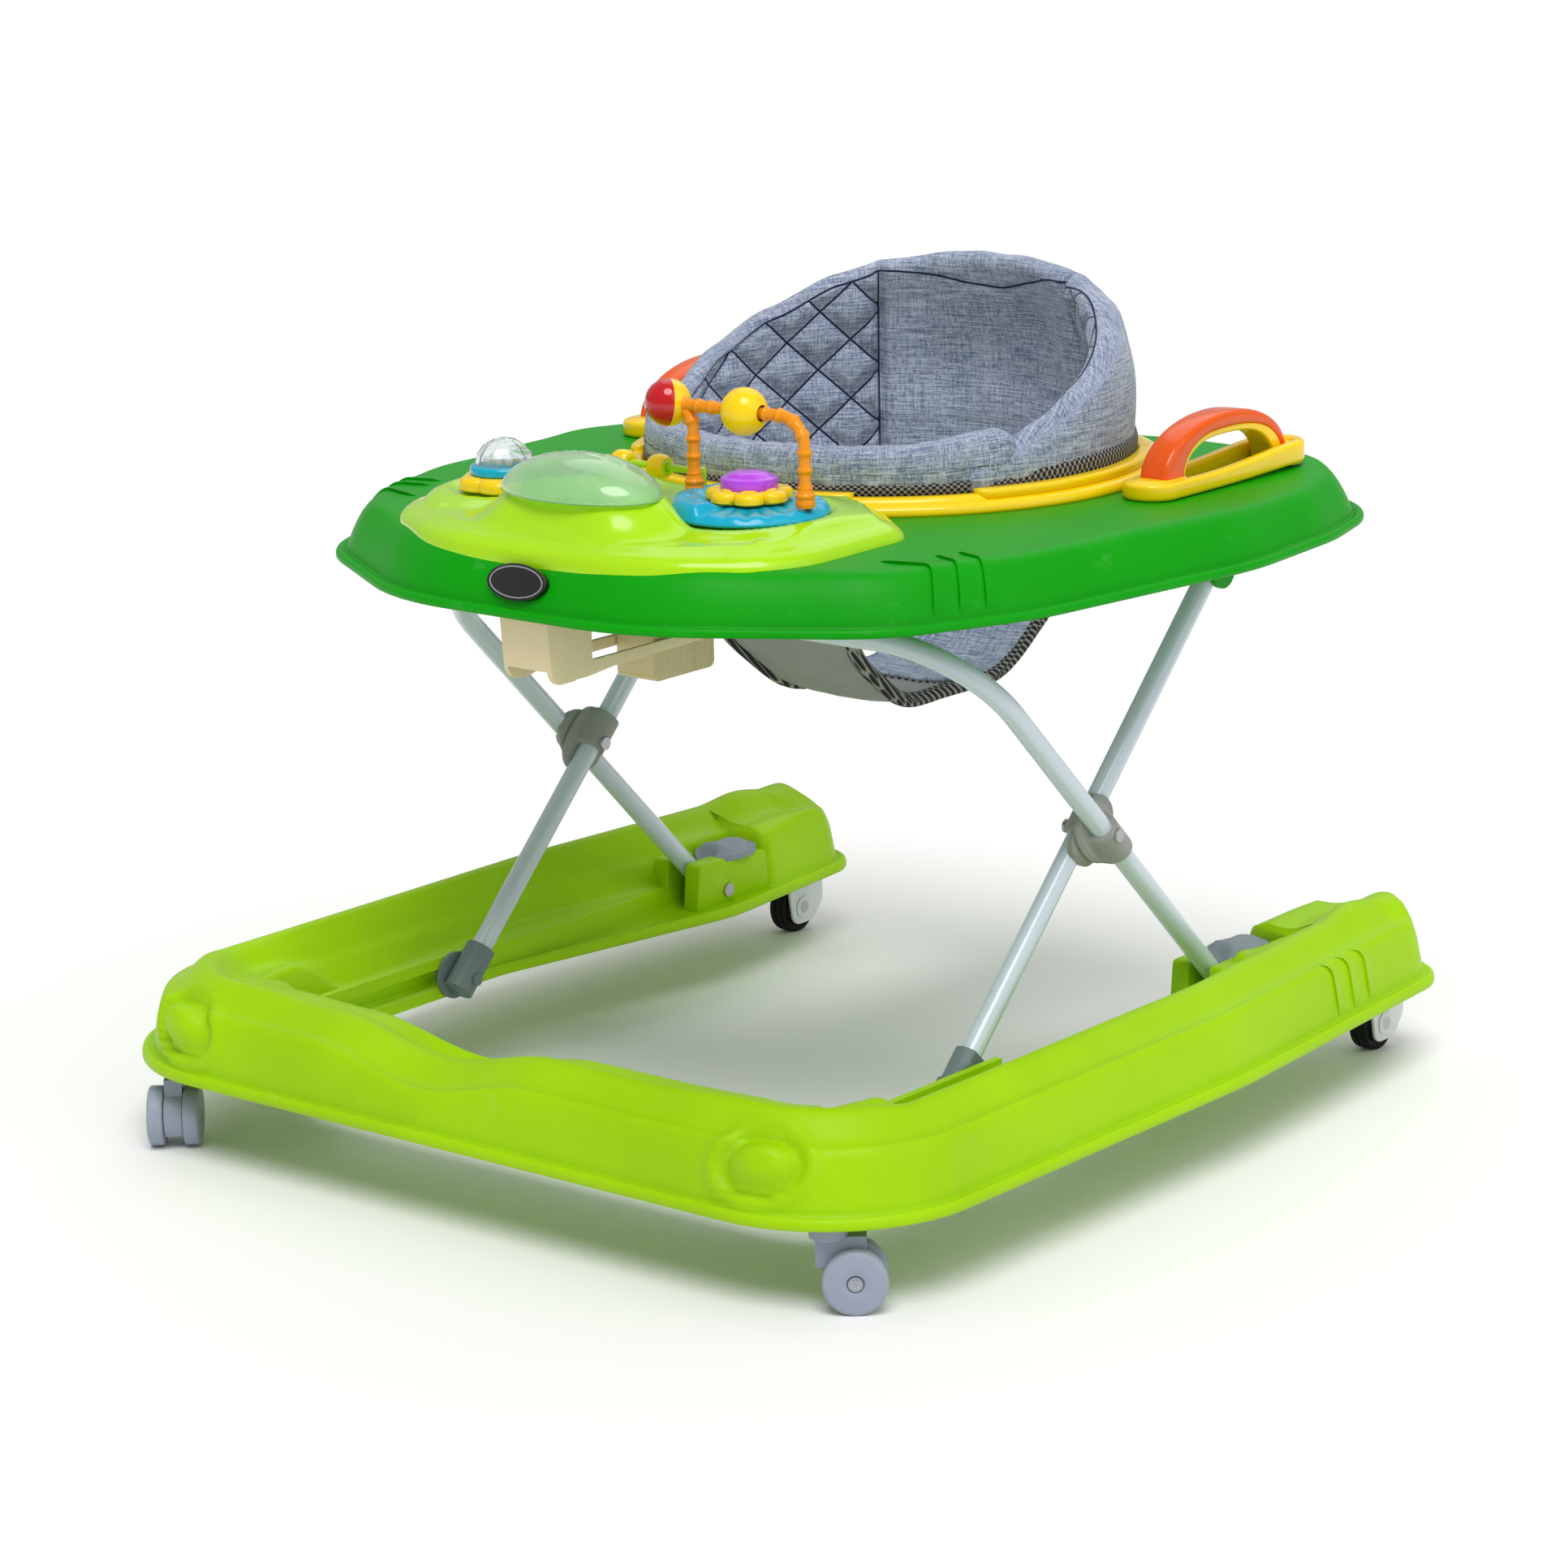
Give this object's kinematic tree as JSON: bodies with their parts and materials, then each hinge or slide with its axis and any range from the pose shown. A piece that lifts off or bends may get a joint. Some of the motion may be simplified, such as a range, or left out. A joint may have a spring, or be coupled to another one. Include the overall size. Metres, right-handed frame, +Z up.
{
  "type": "baby walker",
  "caption": "Folding baby walker with a rolling U-shaped base, a scissor leg frame, a toy tray with handles and a padded sling seat.",
  "frame": {"origin": "on the floor under the middle of the walker's bounding box", "axes": "+Z up, front of the walker towards -Y, +X to its right-hand side seen from the front camera side; every length in metres"},
  "size_m": [0.7338, 0.76, 0.594],
  "materials": {
    "lime_plastic": "satin moulded lime green",
    "grey_plastic": "satin grey",
    "white_plastic": "satin off-white",
    "caster_plastic": "satin pale blue-grey",
    "tyre": "matt black",
    "steel": "plain steel",
    "tube_paint": "satin pale silver-blue paint",
    "cream_plastic": "satin cream",
    "green_plastic": "matte green",
    "yellow_plastic": "gloss yellow",
    "panel_plastic": "gloss yellow-green",
    "orange_plastic": "gloss orange",
    "red_plastic": "gloss red",
    "gold_plastic": "gloss golden yellow",
    "purple_plastic": "gloss purple",
    "blue_plastic": "gloss blue",
    "lime_toy_plastic": "gloss lime",
    "clear_plastic": "clear, slightly milky",
    "seat_fabric": "heather grey woven cloth with navy stitching",
    "badge_black": "gloss black with a grey line round it",
    "circuit": "green solder mask",
    "speaker_black": "black",
    "battery_case": "plain dark sleeve"
  },
  "bodies": {
    "base": {"base_shell": "lime_plastic", "slide_rails": "lime_plastic", "rear_pivot_covers": "grey_plastic", "rear_pivot_pins": "steel", "rear_wheel_brackets": "white_plastic", "rear_wheel_axles": "steel", "caster_sockets": "lime_plastic"},
    "caster_right": {"caster_fork_right": "caster_plastic"},
    "caster_left": {"caster_fork_left": "caster_plastic"},
    "caster_right_wheels": {"caster_wheels_right": "caster_plastic"},
    "caster_left_wheels": {"caster_wheels_left": "caster_plastic"},
    "wheel_right": {"rear_wheel_right": "tyre"},
    "wheel_left": {"rear_wheel_left": "tyre"},
    "outer_legs": {"outer_leg_tube": "tube_paint", "outer_joint_left": "grey_plastic", "outer_joint_right": "grey_plastic", "crossing_bolts": "steel"},
    "inner_legs": {"inner_leg_tube_left": "tube_paint", "inner_leg_tube_right": "tube_paint", "inner_joints": "grey_plastic", "slider_caps": "grey_plastic"},
    "rail_sliders": {"slider_rollers": "grey_plastic"},
    "latch": {"latch_block": "cream_plastic"},
    "tray": {"tray_shell": "green_plastic", "tray_pivot_brackets": "green_plastic", "tray_pivot_pins": "steel", "height_adjuster": "cream_plastic", "seat_ring": "yellow_plastic", "seat_ring_clips": "yellow_plastic", "seat_front_band": "seat_fabric", "seat_back": "seat_fabric", "seat_sling": "seat_fabric", "toy_panel": "panel_plastic", "centre_dome": "clear_plastic", "sound_box": "white_plastic", "battery_door": "white_plastic", "batteries": "battery_case", "circuit_board": "circuit", "speaker": "speaker_black", "arch_base": "blue_plastic", "flower_base": "yellow_plastic", "bead_arch": "orange_plastic", "rattle_base": "yellow_plastic", "button_collar": "blue_plastic", "spinner_bar": "lime_plastic", "handle_base_left": "yellow_plastic", "handle_base_right": "yellow_plastic", "handle_grip_left": "orange_plastic", "handle_grip_right": "orange_plastic", "badge_plate": "badge_black"},
    "arch_button": {"button_right": "purple_plastic"},
    "side_button": {"button_left": "purple_plastic"},
    "rattle": {"rattle_ring": "blue_plastic", "rattle_dome": "clear_plastic"},
    "roller_left": {"spinner_roller_left": "yellow_plastic"},
    "roller_right": {"spinner_roller_right": "lime_toy_plastic"},
    "two_tone_ball": {"bead_ball_red": "red_plastic", "bead_ball_gold": "gold_plastic"},
    "yellow_ball": {"bead_ball_yellow": "yellow_plastic"}
  },
  "joints": [
    {"name": "frame_fold", "type": "hinge", "parent": "base", "child": "outer_legs", "pos_m": [0, 0.2008, 0.078], "axis": [1, 0, 0], "range_deg": [0, 26]},
    {"name": "leg_crossing", "type": "hinge", "parent": "outer_legs", "child": "inner_legs", "pos_m": [0, 0.04807, 0.23073], "axis": [1, 0, 0], "range_deg": [-52, 0]},
    {"name": "tray_pivot", "type": "hinge", "parent": "inner_legs", "child": "tray", "pos_m": [0, 0.20997, 0.39266], "axis": [1, 0, 0], "range_deg": [0, 26]},
    {"name": "rail_slide_turn", "type": "hinge", "parent": "inner_legs", "child": "rail_sliders", "pos_m": [0, -0.10466, 0.078], "axis": [1, 0, 0], "range_deg": [0, 26]},
    {"name": "latch_turn", "type": "hinge", "parent": "outer_legs", "child": "latch", "pos_m": [0, -0.11203, 0.39083], "axis": [1, 0, 0], "range_deg": [-26, 0]},
    {"name": "caster_right_swivel", "type": "hinge", "parent": "base", "child": "caster_right", "pos_m": [0.305, -0.338, 0.09], "axis": [0, 0, 1], "continuous": true},
    {"name": "caster_right_roll", "type": "hinge", "parent": "caster_right", "child": "caster_right_wheels", "pos_m": [0.31821, -0.3273, 0.022], "axis": [-0.6293, 0.7771, 0], "continuous": true},
    {"name": "wheel_right_roll", "type": "hinge", "parent": "base", "child": "wheel_right", "pos_m": [0.285, 0.352, 0.022], "axis": [1, 0, 0], "continuous": true},
    {"name": "caster_left_swivel", "type": "hinge", "parent": "base", "child": "caster_left", "pos_m": [-0.305, -0.338, 0.09], "axis": [0, 0, 1], "continuous": true},
    {"name": "caster_left_roll", "type": "hinge", "parent": "caster_left", "child": "caster_left_wheels", "pos_m": [-0.2943, -0.35121, 0.022], "axis": [0.7771, 0.6293, 0], "continuous": true},
    {"name": "wheel_left_roll", "type": "hinge", "parent": "base", "child": "wheel_left", "pos_m": [-0.285, 0.352, 0.022], "axis": [1, 0, 0], "continuous": true},
    {"name": "arch_button_press", "type": "slide", "parent": "tray", "child": "arch_button", "axis": [0, 0, -1], "range_m": [0, 0.0027], "stiffness_N_per_m": 900, "springref_m": -0.0005},
    {"name": "side_button_press", "type": "slide", "parent": "tray", "child": "side_button", "axis": [0, 0, -1], "range_m": [0, 0.0027], "stiffness_N_per_m": 700, "springref_m": -0.0005},
    {"name": "rattle_turn", "type": "hinge", "parent": "tray", "child": "rattle", "pos_m": [-0.118, -0.165, 0.49], "axis": [0, 0, 1], "continuous": true},
    {"name": "roller_left_turn", "type": "hinge", "parent": "tray", "child": "roller_left", "pos_m": [-0.04, -0.126, 0.496], "axis": [1, 0, 0], "continuous": true},
    {"name": "roller_right_turn", "type": "hinge", "parent": "tray", "child": "roller_right", "pos_m": [-0.006, -0.126, 0.496], "axis": [1, 0, 0], "continuous": true},
    {"name": "two_tone_ball_turn", "type": "hinge", "parent": "tray", "child": "two_tone_ball", "pos_m": [0.0205, -0.146, 0.547], "axis": [1, 0, 0], "continuous": true},
    {"name": "yellow_ball_slide", "type": "slide", "parent": "tray", "child": "yellow_ball", "axis": [1, 0, 0], "range_m": [-0.024, 0.015]}
  ],
  "couplings": [
    {"joint": "leg_crossing", "follows": "frame_fold", "ratio": -2},
    {"joint": "tray_pivot", "follows": "frame_fold", "ratio": 1},
    {"joint": "rail_slide_turn", "follows": "frame_fold", "ratio": 1},
    {"joint": "latch_turn", "follows": "frame_fold", "ratio": -1}
  ]
}
